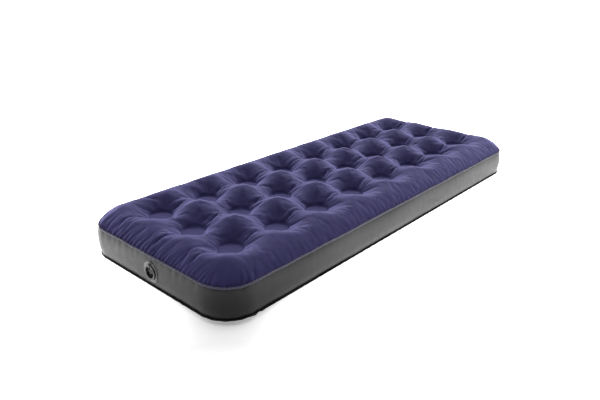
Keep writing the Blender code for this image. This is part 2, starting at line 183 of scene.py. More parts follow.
def crease_depth(x, y):
    """Depth, from 0 to about 1, of the folds that run along the bed between the discs."""
    draw = np.random.default_rng(11)
    columns = np.unique(np.round(DISCS[:, 0], 4))
    rows = np.unique(np.round(DISCS[:, 1], 4))
    stops = [-HALF_Y - 0.02, *rows, HALF_Y + 0.02]
    depth = np.zeros_like(x)
    for cx in columns:
        for low, high in zip(stops, stops[1:]):
            for strength, side in ((draw.uniform(0.7, 1.0), 0.0), (draw.uniform(0.15, 0.4), 1.0)):
                offset = side * draw.choice([-1.0, 1.0]) * draw.uniform(0.018, 0.028)
                bend = draw.uniform(-0.014, 0.014)
                lean = draw.uniform(-0.010, 0.010)
                width = draw.uniform(0.0042, 0.0056)
                share = np.clip((y - low) / (high - low), 0.0, 1.0)
                middle = cx + offset + bend * np.sin(np.pi * share) + lean * (share - 0.5)
                inside = (y > low) & (y < high)
                ends = smooth(y - low, CREASE_CLEAR, CREASE_FULL)
                ends = ends * smooth(high - y, CREASE_CLEAR, CREASE_FULL)
                cut = np.exp(-(np.abs(x - middle) / width) ** 1.5)
                depth += np.where(inside, strength * ends * cut, 0.0)
    return depth


def top_grid():
    """Points of the top sheet on a regular grid, with how each one may move."""
    columns = round(2 * HALF_X / GRID_STEP)
    rows = round(2 * HALF_Y / GRID_STEP)
    gx, gy = np.meshgrid(np.linspace(-HALF_X, HALF_X, columns + 1),
                         np.linspace(-HALF_Y, HALF_Y, rows + 1))
    x, y = round_plan(gx, gy, HALF_X, HALF_Y, CORNER)
    edge, nx, ny = edge_facts(x, y, HALF_X, HALF_Y, CORNER)
    inset, height = roll_profile(edge)
    x = x - nx * (inset - edge)
    y = y - ny * (inset - edge)
    return x, y, height, edge


def funnel(x, y):
    """Share of the full depth that the dimples reach, from 0 to 1."""
    away = disc_distance(x, y)
    share = np.clip((away - DISC_RADIUS) / (FUNNEL_REACH - DISC_RADIUS), 0.0, 1.0)
    single = (1.0 - share) ** FUNNEL_POWER
    depth = 1.0 - np.prod(1.0 - single, axis=0)
    return (1.0 + CREST_ROUNDING) * depth ** 2 / (depth + CREST_ROUNDING)


def inflate(points, edge):
    """Run the sheet as cloth under pressure, held at its discs and at its seam."""
    rows, columns = edge.shape
    sheet = grid_object("cloth_work", points)
    away = disc_distance(points[..., 0], points[..., 1]).min(axis=0)
    held = np.flatnonzero(((edge < 0.0005) | (away < DISC_RADIUS - 0.001)).ravel())
    group = sheet.vertex_groups.new(name="held")
    group.add([int(i) for i in held], 1.0, "REPLACE")
    modifier = sheet.modifiers.new("Cloth", "CLOTH")
    cloth = modifier.settings
    cloth.quality = 6
    cloth.mass = 0.25
    cloth.tension_stiffness = 60
    cloth.compression_stiffness = 30
    cloth.shear_stiffness = 20
    cloth.bending_stiffness = 0.5
    cloth.air_damping = 2
    cloth.use_pressure = True
    cloth.uniform_pressure_force = CLOTH_PRESSURE
    cloth.shrink_min = CLOTH_SHRINK
    cloth.vertex_group_mass = "held"
    cloth.effector_weights.gravity = 0
    modifier.collision_settings.use_collision = False
    modifier.point_cache.frame_start = 1
    modifier.point_cache.frame_end = CLOTH_FRAMES
    for number in range(1, CLOTH_FRAMES + 1):
        bpy.context.scene.frame_set(number)
    graph = bpy.context.evaluated_depsgraph_get()
    result = bpy.data.meshes.new_from_object(sheet.evaluated_get(graph))
    moved = np.empty(rows * columns * 3)
    result.vertices.foreach_get("co", moved)
    bpy.data.objects.remove(sheet, do_unlink=True)
    bpy.data.meshes.remove(result)
    bpy.context.scene.frame_set(1)
    shift = moved.reshape(points.shape) - points
    loose = CLOTH_EDGE_SHARE + (1.0 - CLOTH_EDGE_SHARE) * smooth(edge, 0.05, 0.13)
    shift = shift * loose[..., None]
    length = np.linalg.norm(shift, axis=-1, keepdims=True)
    return points + shift * np.minimum(1.0, CLOTH_LARGEST_SHIFT / np.maximum(length, 1e-9))


def refine(grid):
    """Double a grid's resolution both ways with Catmull-Rom interpolation."""
    for axis in (0, 1):
        grid = np.moveaxis(grid, axis, 0)
        padded = np.concatenate([2 * grid[:1] - grid[1:2], grid, 2 * grid[-1:] - grid[-2:-1]])
        middle = (9 * (padded[1:-2] + padded[2:-1]) - (padded[:-3] + padded[3:])) / 16
        fine = np.empty((2 * len(grid) - 1, *grid.shape[1:]))
        fine[0::2] = grid
        fine[1::2] = middle
        grid = np.moveaxis(fine, 0, axis)
    return grid


def grid_normals(points):
    """Unit normals of a grid of points, facing up for an upward sheet."""
    along_x = np.gradient(points, axis=1)
    along_y = np.gradient(points, axis=0)
    normal = np.cross(along_x, along_y)
    return normal / np.maximum(np.linalg.norm(normal, axis=-1, keepdims=True), 1e-12)


def grid_faces(rows, columns, closed=False):
    """Quads of a grid of points, joined round its columns where it is closed."""
    index = np.arange(rows * columns).reshape(rows, columns)
    right = np.roll(index, -1, axis=1) if closed else index[:, 1:]
    left = index if closed else index[:, :-1]
    quads = np.stack([left[:-1], right[:-1], right[1:], left[1:]], axis=-1)
    return quads.reshape(-1, 4)


def mesh_object(name, points, faces):
    """Make an object from arrays of points and quads."""
    mesh = bpy.data.meshes.new(name)
    mesh.from_pydata(points.reshape(-1, 3).tolist(), [], faces.tolist())
    mesh.validate()
    mesh.shade_smooth()
    item = bpy.data.objects.new(name, mesh)
    bpy.context.scene.collection.objects.link(item)
    return item


def grid_object(name, points, closed=False):
    """Make an object from a grid of points."""
    if not np.isfinite(points).all():
        raise ValueError(name + " has points that are not numbers")
    rows, columns = points.shape[:2]
    return mesh_object(name, points, grid_faces(rows, columns, closed))


def perimeter_facts(x, y):
    """Distance along the bed's outline, counted from the middle of the valve end."""
    straight_x = HALF_X - CORNER
    straight_y = HALF_Y - CORNER
    arc = math.pi / 2 * CORNER
    ax, ay = np.abs(x), np.abs(y)
    turn = np.arctan2(np.maximum(ax - straight_x, 0.0), np.maximum(ay - straight_y, 1e-9))
    corner = (ax > straight_x) & (ay > straight_y)
    on_side = (ax > straight_x) & ~corner
    along_side = straight_x + arc + straight_y - ay
    run = np.where(corner, straight_x + CORNER * turn, np.where(on_side, along_side, ax))
    run = np.where(~corner & ~on_side, np.minimum(ax, straight_x), run)
    half = straight_x + arc + straight_y
    run = np.where(y > 0, 2 * half - run, run)
    return np.where(x < 0, -run, run)


def pucker_depth(x, y, edge):
    """Depth of the small gathers that rise from the top seam, long on the ends."""
    run = perimeter_facts(x, y)
    half_turn = 2 * (HALF_X - CORNER + math.pi / 2 * CORNER + HALF_Y - CORNER)
    end_reach = HALF_X - CORNER + math.pi / 2 * CORNER
    draw = np.random.default_rng(5)
    depth = np.zeros_like(x)
    near = edge < PUCKER_REACH
    rn, en = run[near], np.maximum(edge[near], 0.0)
    total = np.zeros_like(rn)
    place = -half_turn
    while place < half_turn:
        from_far = half_turn - abs(place)
        on_end = abs(place) < end_reach or from_far < end_reach
        gap = draw.uniform(0.012, 0.022) if on_end else draw.uniform(0.022, 0.055)
        strength = draw.uniform(0.55, 1.0) * (1.0 if on_end else 0.22)
        width = draw.uniform(0.0030, 0.0044)
        reach = draw.uniform(0.020, 0.058) * (1.0 if on_end else 0.6)
        lean = draw.uniform(0.10, 0.55) if on_end else draw.uniform(-0.3, 0.3)
        near_it = np.abs(rn - place) < 0.070
        off = rn[near_it] - place - lean * en[near_it]
        spread = width * (1.0 + 12.0 * en[near_it])
        fade = np.exp(-(en[near_it] / reach) ** 1.8)
        total[near_it] += strength * np.exp(-(off / spread) ** 2) * fade
        place += gap
    depth[near] = total
    return depth * smooth(edge, 0.0, 0.006)


def radial_wrinkles(x, y):
    """Fine folds that point at each disc, about -1 to 1."""
    draw = np.random.default_rng(23)
    total = np.zeros_like(x)
    for cx, cy in DISCS:
        phase = draw.uniform(0.0, 2.0 * np.pi, 4)
        away = np.hypot(x - cx, y - cy)
        near = away < 0.11
        angle = np.arctan2(y[near] - cy, x[near] - cx)
        window = smooth(away[near], 0.038, 0.050) * (1.0 - smooth(away[near], 0.060, 0.105))
        folds = 0.0
        for (count, weight), shift in zip(WRINKLE_WAVES, phase):
            folds = folds + weight * np.sin(count * angle + shift + 6.0 * away[near] / 0.1)
        total[near] += window * folds
    return total


def disc_relief(x, y):
    """Plateau of each weld disc with its ring and the groove round it, in metres."""
    away = disc_distance(x, y).min(axis=0)
    plateau = 1.0 - smooth(away, DISC_RADIUS - 0.003, DISC_RADIUS + 0.003)
    ring = np.exp(-((away - DISC_RADIUS + 0.0045) / 0.0028) ** 2)
    inner = np.exp(-((away - DISC_RADIUS + 0.0145) / 0.0026) ** 2)
    groove = np.exp(-((away - DISC_RADIUS - 0.0050) / 0.0040) ** 2)
    return 0.0006 * plateau + RING_HEIGHT * ring + 0.0004 * inner - GROOVE_DEPTH * groove


def make_top_sheet():
    """Flocked top sheet: base shape, cloth run, then the gathers, folds and weld rings."""
    x, y, height, edge = top_grid()
    share = funnel(x, y)
    z = height + (DISC_Z - height) * share
    points = np.stack([x, y, z], axis=-1)
    points = inflate(points, edge)
    points = refine(points)
    edge = refine(edge[..., None])[..., 0]
    x, y = points[..., 0], points[..., 1]
    normal = grid_normals(points)
    away = disc_distance(x, y).min(axis=0)
    free = smooth(away, DISC_RADIUS, DISC_RADIUS + 0.012) * smooth(edge, 0.0, 0.012)
    lift = LUMP_HEIGHT * wave_noise(x, y, LUMP_LENGTH, 3) * free
    lift += WRINKLE_HEIGHT * radial_wrinkles(x, y) * free
    lift += disc_relief(x, y)
    lift -= CREASE_DEPTH * crease_depth(x, y) * smooth(edge, 0.004, 0.03)
    lift -= PUCKER_DEPTH * pucker_depth(x, y, edge)
    points = points + normal * lift[..., None]
    return grid_object("top_sheet", points)


# ---------------------------------------------------------------- band, bottom and welds

def outline_loop(inset, count):
    """Points round the rounded plan at an inset, as (x, y, outward x, outward y, distance)."""
    radius = CORNER - inset
    straight_x = HALF_X - CORNER
    straight_y = HALF_Y - CORNER
    arc = math.pi / 2 * CORNER
    total = 4 * (straight_x + straight_y + arc)
    run = np.linspace(0.0, total, count, endpoint=False)
    legs = [
        (straight_x, (0.0, -1.0), None), (arc, None, (1, -1, -90.0)),
        (2 * straight_y, (1.0, 0.0), None), (arc, None, (1, 1, 0.0)),
        (2 * straight_x, (0.0, 1.0), None), (arc, None, (-1, 1, 90.0)),
        (2 * straight_y, (-1.0, 0.0), None), (arc, None, (-1, -1, 180.0)),
        (straight_x, (0.0, -1.0), None),
    ]
    out = np.zeros((count, 5))
    start = 0.0
    for number, (length, normal, corner) in enumerate(legs):
        inside = (run >= start - 1e-12) & (run < start + length - 1e-12)
        share = run[inside] - start
        if corner:
            side_x, side_y, first = corner
            angle = np.radians(first) + share / CORNER
            nx, ny = np.cos(angle), np.sin(angle)
            x = side_x * straight_x + radius * nx
            y = side_y * straight_y + radius * ny
        else:
            nx = np.full(share.shape, normal[0])
            ny = np.full(share.shape, normal[1])
            if normal[1]:
                begin = {0: 0.0, 4: straight_x, 8: -straight_x}[number]
                x = begin - normal[1] * share
                y = normal[1] * (HALF_Y - inset) * np.ones_like(share)
            else:
                y = normal[0] * (share - straight_y)
                x = normal[0] * (HALF_X - inset) * np.ones_like(share)
        out[inside] = np.stack([x, y, nx, ny, run[inside]], axis=-1)
        start += length
    return out, total


def band_inset(z):
    """How far the band's face lies inside the widest outline at a height."""
    middle = (SEAM_Z + FOOT_SEAM_Z) / 2
    return SEAM_INSET * (np.abs(z - middle) / (SEAM_Z - middle)) ** BAND_FULLNESS


def loop_noise(run, total, seed, count, low, high):
    """Smooth noise round the outline, from a few whole waves of seeded phase."""
    draw = np.random.default_rng(seed)
    value = np.zeros_like(run)
    for _ in range(count):
        waves = round(total / draw.uniform(low, high))
        value += np.sin(2.0 * np.pi * waves * run / total + draw.uniform(0.0, 2.0 * np.pi))
    return value / math.sqrt(count / 2.0)


def make_band():
    """Dark side band, slightly rippled under its seams, with a hole for the valve."""
    loop, total = outline_loop(0.0, BAND_AROUND)
    x0, y0, nx, ny, run = loop.T
    heights = np.linspace(FOOT_SEAM_Z, SEAM_Z, BAND_ROWS + 1)
    ripple = loop_noise(run, total, 8, 5, 0.022, 0.060)
    sway = loop_noise(run, total, 9, 4, 0.20, 0.60)
    ripple_size = 0.00012 + 0.00045 * end_share(run, total)
    points = np.zeros((BAND_ROWS + 1, BAND_AROUND, 3))
    for row, z in enumerate(heights):
        share = (z - FOOT_SEAM_Z) / (SEAM_Z - FOOT_SEAM_Z)
        near_top = math.exp(-(1.0 - share) / 0.16) * min(1.0, (1.0 - share) / 0.03)
        near_foot = math.exp(-share / 0.12) * min(1.0, share / 0.03)
        inset = band_inset(z) - 0.0006 * sway * math.sin(math.pi * share)
        inset = inset - ripple_size * ripple * (near_top + 0.7 * near_foot)
        points[row] = np.stack([x0 - nx * inset, y0 - ny * inset, np.full(BAND_AROUND, z)], axis=-1)
    band = grid_object("side_band_sheet", points, closed=True)
    bm = bmesh.new()
    bm.from_mesh(band.data)

    def off_axis(co):
        return math.hypot(co.x - VALVE.x, co.z - VALVE.z) if co.y < 0.05 - HALF_Y else 1.0

    gone = [f for f in bm.faces if off_axis(f.calc_center_median()) < VALVE_HOLE]
    bmesh.ops.delete(bm, geom=gone, context="FACES")
    for vert in bm.verts:
        away = off_axis(vert.co)
        if vert.is_boundary and away < 0.04:
            vert.co.x = VALVE.x + (vert.co.x - VALVE.x) * VALVE_HOLE / away
            vert.co.z = VALVE.z + (vert.co.z - VALVE.z) * VALVE_HOLE / away
            vert.co.y = band_inset(vert.co.z) - HALF_Y
    bm.to_mesh(band.data)
    bm.free()
    band.data.shade_smooth()
    return band


def make_strip(name, profile, count, shift):
    """Closed strip round the outline. profile holds (outward, height) points, shift gives
    each point's change from (distance, total, outward, height)."""
    points = []
    loop, total = outline_loop(0.0, count)
    x0, y0, nx, ny, run = loop.T
    for out, height in profile:
        more_out, more_up = shift(run, total, out, height)
        push = out + more_out
        points.append(np.stack([x0 + nx * push, y0 + ny * push, height + more_up], axis=-1))
    points.append(points[0])
    strip = grid_object(name, np.array(points), closed=True)
    bm = bmesh.new()
    bm.from_mesh(strip.data)
    bmesh.ops.remove_doubles(bm, verts=bm.verts, dist=1e-6)
    bmesh.ops.recalc_face_normals(bm, faces=bm.faces)
    bm.to_mesh(strip.data)
    bm.free()
    strip.data.shade_smooth()
    return strip


def end_share(run, total):
    """1 on the two short ends and their corners, 0 on the long sides."""
    straight_x = HALF_X - CORNER
    reach = straight_x + math.pi / 2 * CORNER
    from_foot = np.minimum(run, total - run)
    near = np.minimum(from_foot, total / 2 - from_foot)
    return 1.0 - smooth(near, reach - 0.06, reach + 0.04)


def make_top_weld():
    """Weld bead between the top sheet and the band, pinched into small scallops on the ends."""
    inset = SEAM_INSET
    profile = [
        (-inset - 0.0012, SEAM_Z - 0.0036), (-inset + 0.0012, SEAM_Z - 0.0036),
        (-inset + 0.0024, SEAM_Z - 0.0010), (-inset + 0.0026, SEAM_Z + 0.0012),
        (-inset + 0.0016, SEAM_Z + 0.0028), (-inset - 0.0004, SEAM_Z + 0.0034),
        (-inset - 0.0022, SEAM_Z + 0.0024), (-inset - 0.0030, SEAM_Z - 0.0002),
    ]

    def shift(run, total, out, height):
        scallop = loop_noise(run, total, 31, 4, 0.013, 0.021) * end_share(run, total)
        slow = loop_noise(run, total, 32, 4, 0.08, 0.3)
        side = loop_noise(run, total, 33, 3, 0.030, 0.060) * (1.0 - end_share(run, total))
        return 0.00045 * scallop + 0.0002 * side, 0.00075 * scallop + 0.0004 * slow + 0.0002 * side

    return make_strip("top_weld", profile, TOP_WELD_AROUND, shift)


def make_bottom_weld():
    """Thin weld lip between the band and the bottom sheet, a little wavy at the corners."""
    z = FOOT_SEAM_Z - 0.0014
    profile = [
        (-LIP_INSET - 0.0070, z - 0.0008), (-LIP_INSET - 0.0010, z - 0.0014),
        (-LIP_INSET + 0.0012, z - 0.0022), (-LIP_INSET + 0.0016, z - 0.0014),
        (-LIP_INSET + 0.0002, z - 0.0002), (-LIP_INSET - 0.0030, z + 0.0006),
        (-LIP_INSET - 0.0060, z + 0.0010),
    ]

    def shift(run, total, out, height):
        corner = 4.0 * end_share(run, total) * (1.0 - end_share(run, total))
        free = max(0.0, (out + LIP_INSET + 0.0070) / 0.0080)
        wave = loop_noise(run, total, 41, 4, 0.022, 0.045) * (0.35 + 1.3 * corner)
        slow = loop_noise(run, total, 42, 4, 0.10, 0.35)
        return 0.0004 * free * slow, free * (0.0009 * wave + 0.0004 * slow)

    return make_strip("bottom_weld", profile, BOTTOM_WELD_AROUND, shift)


def make_bottom_sheet():
    """Underside: flat on the ground, with a shallow welded dimple at each coil."""
    lip = LIP_INSET + 0.0030
    half_x = HALF_X - lip
    half_y = HALF_Y - lip
    radius = CORNER - lip
    columns = round(2 * half_x / BOTTOM_STEP)
    rows = round(2 * half_y / BOTTOM_STEP)
    gx, gy = np.meshgrid(np.linspace(half_x, -half_x, columns + 1),
                         np.linspace(-half_y, half_y, rows + 1))
    x, y = round_plan(gx, gy, half_x, half_y, radius)
    edge, _, _ = edge_facts(x, y, half_x, half_y, radius)
    foot = FOOT_SEAM_Z - 0.0022
    share = np.clip(edge / FOOT_RADIUS, 0.0, 1.0)
    rise = foot * (1.0 - np.sqrt(np.clip(1.0 - (1.0 - share) ** 2, 0.0, 1.0)))
    away = disc_distance(x, y).min(axis=0)
    share = np.clip((away - WELL_RADIUS) / WELL_SLOPE, 0.0, 1.0)
    well = (COIL_LOW - FILM) * (0.5 + 0.5 * np.cos(np.pi * share))
    outer_ring = 0.0007 * np.exp(-((away - WELL_RADIUS) / 0.0018) ** 2)
    inner_ring = 0.0004 * np.exp(-((away - 0.0265) / 0.0015) ** 2)
    rings = outer_ring + inner_ring
    free = smooth(edge, 0.0, 0.02) * smooth(away, 0.036, 0.060)
    folds = 0.0006 * np.abs(wave_noise(x, y, 0.07, 51)) * free
    z = rise + well - rings * (well > 0.003) + folds
    return grid_object("bottom_sheet", np.stack([x, y, np.maximum(z, 0.0)], axis=-1))


# ---------------------------------------------------------------- valve

ROUND = 96
BORE_RADIUS = 0.0196
CAP_AROUND = 144
CAP_RIBS = 48
CAP_RIB_DEPTH = 0.00012
CAP_POCKET = 0.0061
CAP_BAR_HEIGHT = 0.0039
THREAD_HEIGHT = 0.0003
THREAD_LOW = -0.0110
THREAD_HIGH = 0.0010
THREAD_PITCH = 0.0040
STRAP_HALF_THICK = 0.0005
STRAP_STEPS = 56
FLANGE_LANDS = 0.0278
FLANGE_RADIUS = 0.0370


def valve_point(x, up, out):
    """Row-frame place of a point given beside, above and outwards from the valve's axis."""
    return VALVE.x + x, VALVE.y - out, VALVE.z + up


def lathe(name, profile, closed=True, warp=None):
    """Turn (radius, outward) points about the valve's axis. warp changes the outward part."""
    angles = np.linspace(0.0, 2.0 * np.pi, ROUND, endpoint=False)
    rings = list(profile) + ([profile[0]] if closed else [])
    points = np.zeros((len(rings), ROUND, 3))
    for row, (radius, out) in enumerate(rings):
        x = radius * np.cos(angles)
        up = radius * np.sin(angles)
        level = np.full(ROUND, float(out))
        if warp is not None:
            level = level + warp(radius, angles, row)
        points[row] = np.stack([VALVE.x + x, VALVE.y - level, VALVE.z + up], axis=-1)
    item = grid_object(name, points, closed=True)
    tidy_mesh(item)
    return item


def tidy_mesh(item):
    """Merge doubled points, drop empty faces and face the surface outwards."""
    bm = bmesh.new()
    bm.from_mesh(item.data)
    bmesh.ops.remove_doubles(bm, verts=bm.verts, dist=1e-6)
    bmesh.ops.dissolve_degenerate(bm, edges=bm.edges, dist=1e-7)
    bmesh.ops.recalc_face_normals(bm, faces=bm.faces)
    bm.to_mesh(item.data)
    bm.free()
    item.data.shade_smooth()


def sharpen(item, degrees=35.0):
    """Keep edges sharper than an angle crisp."""
    item.data.set_sharp_from_angle(angle=math.radians(degrees))


def make_flange():
    """Soft moulded flange: a skirt that lies on the band and a neck that grips the barrel."""
    def follow(radius, angles, row):
        share = np.clip((radius - FLANGE_LANDS) / (FLANGE_RADIUS - FLANGE_LANDS), 0.0, 1.0)
        lies = math.sqrt(1.0 - (1.0 - share) ** 2)
        return -lies * band_inset(np.clip(VALVE.z + radius * np.sin(angles), FOOT_SEAM_Z, SEAM_Z))

    profile = [
        (0.0231, -0.0155), (0.0231, -0.0010), (0.0236, 0.0012), (0.0246, 0.0018), (0.0275, 0.0018),
        (0.0290, 0.0019), (0.0298, 0.0016), (0.0306, 0.0019), (0.0330, 0.0019), (0.0341, 0.0018),
        (0.0346, 0.0014), (0.0352, 0.0018), (0.0362, 0.0017), (0.0368, 0.0013), (0.0370, 0.0008),
        (0.0368, 0.0004), (0.0310, 0.0004), (0.0278, 0.0004), (0.0252, 0.0003), (0.0243, -0.0006),
        (0.0243, -0.0155),
    ]
    return lathe("valve_flange_ring", profile, warp=follow)


def make_barrel():
    """Barrel with a rounded bezel, a groove round its face and a seal ledge."""
    profile = [
        (0.0160, -0.0192), (0.0160, -0.0142), (0.0163, -0.0137), (0.0192, -0.0137), (0.0196, -0.0134),
        (0.0196, 0.0034), (0.0198, 0.0044), (0.0204, 0.0051), (0.0212, 0.0054), (0.0228, 0.0055),
        (0.0232, 0.0051), (0.0237, 0.0051), (0.0241, 0.0055), (0.0258, 0.0054), (0.0265, 0.0050),
        (0.0269, 0.0043), (0.0270, 0.0034), (0.0269, 0.0024), (0.0264, 0.0021), (0.0226, 0.0021),
        (0.0226, -0.0192),
    ]
    item = lathe("valve_barrel", profile)
    sharpen(item)
    return item


def make_thread(name, radius, height, low, high, pitch, phase, body, slot):
    """Helical ridge on a cylinder about the valve's axis."""
    turns = (high - low) / pitch
    steps = round(turns * 48)
    share = np.linspace(0.0, 1.0, steps + 1)
    angle = 2.0 * np.pi * turns * share + phase
    fade = smooth(share, 0.0, 0.06) * (1.0 - smooth(share, 0.94, 1.0))
    centre = low + (high - low) * share
    rows = []
    for offset, lift in ((-0.0007, -0.15), (-0.00025, 1.0), (0.00025, 1.0), (0.0007, -0.15)):
        r = radius + height * np.where(lift > 0, lift * fade, lift)
        x, z = VALVE.x + r * np.cos(angle), VALVE.z + r * np.sin(angle)
        rows.append(np.stack([x, VALVE.y - centre - offset, z], axis=-1))
    rows.append(rows[0])
    item = grid_object(name, np.array(rows))
    tidy_mesh(item)
    finish_piece(item, body, hard_plastic, slot)
    return item


def make_cap():
    """Screw cap: ribbed rim, deep pocket and a rounded grip bar."""
    radii = np.concatenate([np.linspace(0.0, 0.0030, 4), np.linspace(0.0034, 0.0150, 30),
                            np.linspace(0.0152, 0.0190, 14)])
    angles = np.linspace(0.0, 2.0 * np.pi, CAP_AROUND, endpoint=False)
    rings = []
    for r in radii:
        x, up = r * np.cos(angles), r * np.sin(angles)
        bar = 1.0 - smooth(np.abs(up), 0.0024, 0.0040)
        wall = smooth(np.full(CAP_AROUND, r), 0.0146, 0.0160)
        pocket = -CAP_POCKET + CAP_BAR_HEIGHT * np.maximum(bar, wall)
        dent = 0.0005 * np.exp(-((np.abs(x) - 0.0105) / 0.0022) ** 2) * bar * (r < 0.0145)
        roll = 0.0006 * smooth(np.full(CAP_AROUND, r), 0.0182, 0.0191)
        level = pocket - dent - roll
        rings.append(np.stack([VALVE.x + x, VALVE.y - level, VALVE.z + up], axis=-1))
    ribs = CAP_RIB_DEPTH * np.cos(CAP_RIBS * angles)
    skirt = (
        (0.0191, -0.0032), (0.0191, -0.0112), (0.0188, -0.0115), (0.0168, -0.0115),
        (0.0166, -0.0112), (0.0166, -0.0080), (0.0, -0.0078),
    )
    for r, level in skirt:
        radius = r + (ribs if r > 0.0190 else 0.0)
        x, up = radius * np.cos(angles), radius * np.sin(angles)
        rings.append(np.stack([VALVE.x + x, np.full(CAP_AROUND, VALVE.y - level), VALVE.z + up], axis=-1))
    item = grid_object("cap_shell", np.array(rings), closed=True)
    tidy_mesh(item)
    sharpen(item, 50.0)
    return item


def make_stud():
    """Stud with a domed head that holds the strap's eye on the cap."""
    profile = [
        (0.0, 0.0017), (0.0016, 0.0016), (0.0030, 0.0013), (0.0041, 0.0008), (0.0046, 0.0003),
        (0.0045, 0.0002), (0.0033, 0.0002), (0.0032, 0.0000), (0.0032, -0.0032), (0.0, -0.0032),
    ]
    return lathe("cap_stud", profile, closed=False)


def make_tether():
    """Retaining strap and its eye: one soft moulding from the cap's stud to the flange."""

    def top(up):
        """How far the flange's face lies back at a height above the valve's axis."""
        share = min(max((up - FLANGE_LANDS) / (FLANGE_RADIUS - FLANGE_LANDS), 0.0), 1.0)
        return -math.sqrt(1.0 - (1.0 - share) ** 2) * float(band_inset(VALVE.z + up))

    knots = [
        (0.0058, -0.0009), (0.0100, -0.0009), (0.0135, -0.0009), (0.0158, -0.0004),
        (0.0176, 0.0012), (0.0186, 0.0036), (0.0194, 0.0057), (0.0212, 0.0066),
        (0.0245, 0.0067), (0.0268, 0.0063), (0.0284, 0.0048), (0.0298, 0.0034),
        (0.0320, 0.0029 + top(0.0320)), (0.0345, 0.0027 + top(0.0345)), (0.0362, 0.0026 + top(0.0362)),
    ]
    ups, outs = np.array(knots).T
    gap = np.concatenate([[0.0], np.cumsum(np.hypot(np.diff(ups), np.diff(outs)))])
    run = np.linspace(0.0, gap[-1], STRAP_STEPS)
    up = np.interp(run, gap, ups)
    out = np.interp(run, gap, outs)
    for _ in range(3):
        up[1:-1] = (up[:-2] + 2.0 * up[1:-1] + up[2:]) / 4.0
        out[1:-1] = (out[:-2] + 2.0 * out[1:-1] + out[2:]) / 4.0
    tangent = np.stack([np.gradient(up), np.gradient(out)], axis=-1)
    tangent /= np.linalg.norm(tangent, axis=-1, keepdims=True)
    share = run / run[-1]
    half = 0.0026 + 0.0012 * smooth(share, 0.0, 0.12) + 0.0010 * smooth(share, 0.84, 1.0)
    section = [
        (-1.0, 0.0), (-0.93, 0.75), (-0.80, 1.0), (-0.35, 1.0), (-0.25, 0.75), (0.25, 0.75),
        (0.35, 1.0), (0.80, 1.0), (0.93, 0.75), (1.0, 0.0), (0.93, -0.8), (0.80, -1.0),
        (-0.80, -1.0), (-0.93, -0.8),
    ]
    rings = []
    for u, o, (tu, to), h in zip(up, out, tangent, half):
        ring = []
        for across, lift in section:
            rise = lift * STRAP_HALF_THICK
            ring.append(valve_point(across * h, u - to * rise, o + tu * rise))
        rings.append(ring)
    strap = grid_object("tether_strap", np.array(rings), closed=True)
    bm = bmesh.new()
    bm.from_mesh(strap.data)
    bmesh.ops.holes_fill(bm, edges=[e for e in bm.edges if e.is_boundary], sides=0)
    bmesh.ops.recalc_face_normals(bm, faces=bm.faces)
    bm.to_mesh(strap.data)
    bm.free()
    strap.data.shade_smooth()
    eye = lathe("tether", [
        (0.0037, -0.0015), (0.0039, -0.0017), (0.0061, -0.0017), (0.0064, -0.0014), (0.0064, -0.0004),
        (0.0061, -0.0001), (0.0039, -0.0001), (0.0037, -0.0003),
    ])
    join = bmesh.new()
    join.from_mesh(eye.data)
    join.from_mesh(strap.data)
    join.to_mesh(eye.data)
    join.free()
    eye.data.shade_smooth()
    bpy.data.objects.remove(strap, do_unlink=True)
    return eye


# ---------------------------------------------------------------- materials

def new_material(name):
    """Make a node material and return it with its tree and its Principled shader."""
    material = bpy.data.materials.new(name)
    material.use_nodes = True
    tree = material.node_tree
    return material, tree, tree.nodes["Principled BSDF"]


def add_node(tree, kind, **settings):
    """Add a node and set its named inputs and attributes."""
    node = tree.nodes.new(kind)
    for key, value in settings.items():
        if key in node.inputs:
            node.inputs[key].default_value = value
        else:
            setattr(node, key, value)
    return node


def object_noise(tree, scale, detail=3.0, roughness=0.55):
    """Noise in the object's own metres."""
    place = tree.nodes.get("Texture Coordinate") or tree.nodes.new("ShaderNodeTexCoord")
    noise = tree.nodes.new("ShaderNodeTexNoise")
    noise.inputs["Scale"].default_value = scale
    noise.inputs["Detail"].default_value = detail
    noise.inputs["Roughness"].default_value = roughness
    tree.links.new(place.outputs["Object"], noise.inputs["Vector"])
    return noise.outputs["Fac"]


def ramp(tree, value, stops):
    """Colour ramp of (place, colour) stops over a value."""
    node = tree.nodes.new("ShaderNodeValToRGB")
    elements = node.color_ramp.elements
    while len(elements) < len(stops):
        elements.new(0.5)
    for element, (place, colour) in zip(elements, stops):
        element.position = place
        element.color = (*colour, 1.0)
    tree.links.new(value, node.inputs["Fac"])
    return node.outputs["Color"]


def value_range(tree, value, low, high, to_low, to_high):
    """Map a value's range onto another."""
    node = tree.nodes.new("ShaderNodeMapRange")
    node.inputs["From Min"].default_value = low
    node.inputs["From Max"].default_value = high
    node.inputs["To Min"].default_value = to_low
    node.inputs["To Max"].default_value = to_high
    tree.links.new(value, node.inputs["Value"])
    return node.outputs["Result"]


def bumps(tree, shader, layers):
    """Chain bump nodes of (height value, strength, distance) into a shader."""
    previous = None
    for height, strength, distance in layers:
        node = tree.nodes.new("ShaderNodeBump")
        node.inputs["Strength"].default_value = strength
        node.inputs["Distance"].default_value = distance
        tree.links.new(height, node.inputs["Height"])
        if previous is not None:
            tree.links.new(previous, node.inputs["Normal"])
        previous = node.outputs["Normal"]
    tree.links.new(previous, shader.inputs["Normal"])


